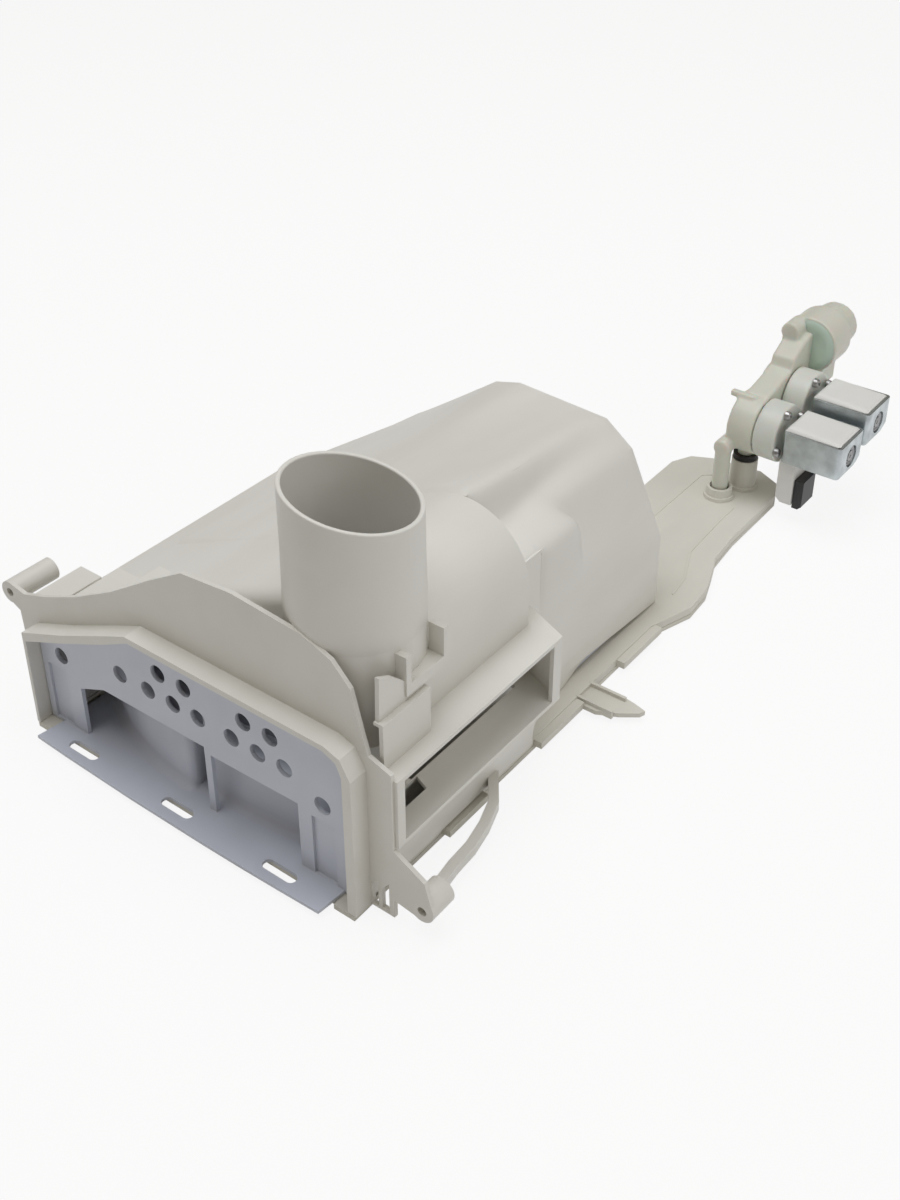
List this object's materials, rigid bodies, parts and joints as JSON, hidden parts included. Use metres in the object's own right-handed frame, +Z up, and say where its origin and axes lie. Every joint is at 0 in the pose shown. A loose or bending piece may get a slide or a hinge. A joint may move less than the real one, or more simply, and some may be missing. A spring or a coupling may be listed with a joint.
{
  "type": "detergent dispenser drawer",
  "caption": "Complete washing machine detergent dispenser, upside down: hopper housing with drain spigot, sliding compartment drawer, water distributor tray and double inlet valve.",
  "frame": {"origin": "on the flat outer face of the distributor, mid width of the drawer mouth, in the plane of the front of the mounting flange", "axes": "X to the right seen from the drawer mouth, +Y from the mouth to the inlet valve, +Z up with the assembly upside down as pictured"},
  "size_m": [0.2525, 0.4788, 0.1814],
  "materials": {
    "ivory_shell": "satin moulded",
    "ivory_tray": "satin moulded",
    "drawer_plastic": "smooth moulded",
    "valve_nylon": "waxy, slightly translucent",
    "bonnet_nylon": "waxy, slightly translucent",
    "filter_plastic": "fine mesh",
    "regulator_green": "moulded",
    "seal_rubber": "matt",
    "zinc_steel": "zinc plated",
    "coil_white": "matt",
    "plunger_steel": "turned",
    "terminal_tin": "tinned",
    "plug_black": "matt"
  },
  "bodies": {
    "housing": {"housing": "ivory_shell", "distributor_base": "ivory_tray", "distributor_cover": "ivory_tray", "valve_body": "valve_nylon", "inlet_filter": "filter_plastic", "flow_regulator": "regulator_green", "outlet_seal_front": "seal_rubber", "outlet_seal_rear": "seal_rubber", "diaphragm_front": "seal_rubber", "diaphragm_rear": "seal_rubber", "bonnet_front": "bonnet_nylon", "bonnet_rear": "bonnet_nylon", "bonnet_screws_front": "zinc_steel", "bonnet_screws_rear": "zinc_steel", "coil_yoke_front": "zinc_steel", "coil_yoke_rear": "zinc_steel", "coil_bobbin_front": "coil_white", "coil_bobbin_rear": "coil_white", "plunger_spring_front": "plunger_steel", "plunger_spring_rear": "plunger_steel", "coil_terminals_front": "terminal_tin", "coil_terminals_rear": "terminal_tin", "connector_block": "coil_white", "connector_plug": "plug_black"},
    "drawer": {"drawer_body": "drawer_plastic", "siphon_cap": "drawer_plastic"},
    "plunger_a": {"plunger_front": "plunger_steel"},
    "plunger_b": {"plunger_rear": "plunger_steel"}
  },
  "joints": [
    {"name": "drawer_slide", "type": "slide", "parent": "housing", "child": "drawer", "axis": [0, -1, 0], "range_m": [0, 0.19]},
    {"name": "plunger_front_slide", "type": "slide", "parent": "housing", "child": "plunger_a", "axis": [1, 0, 0], "range_m": [0, 0.0025], "stiffness_N_per_m": 120, "springref_m": -0.002, "deforming": ["plunger_spring_front"]},
    {"name": "plunger_rear_slide", "type": "slide", "parent": "housing", "child": "plunger_b", "axis": [1, 0, 0], "range_m": [0, 0.0025], "stiffness_N_per_m": 120, "springref_m": -0.002, "deforming": ["plunger_spring_rear"]}
  ]
}
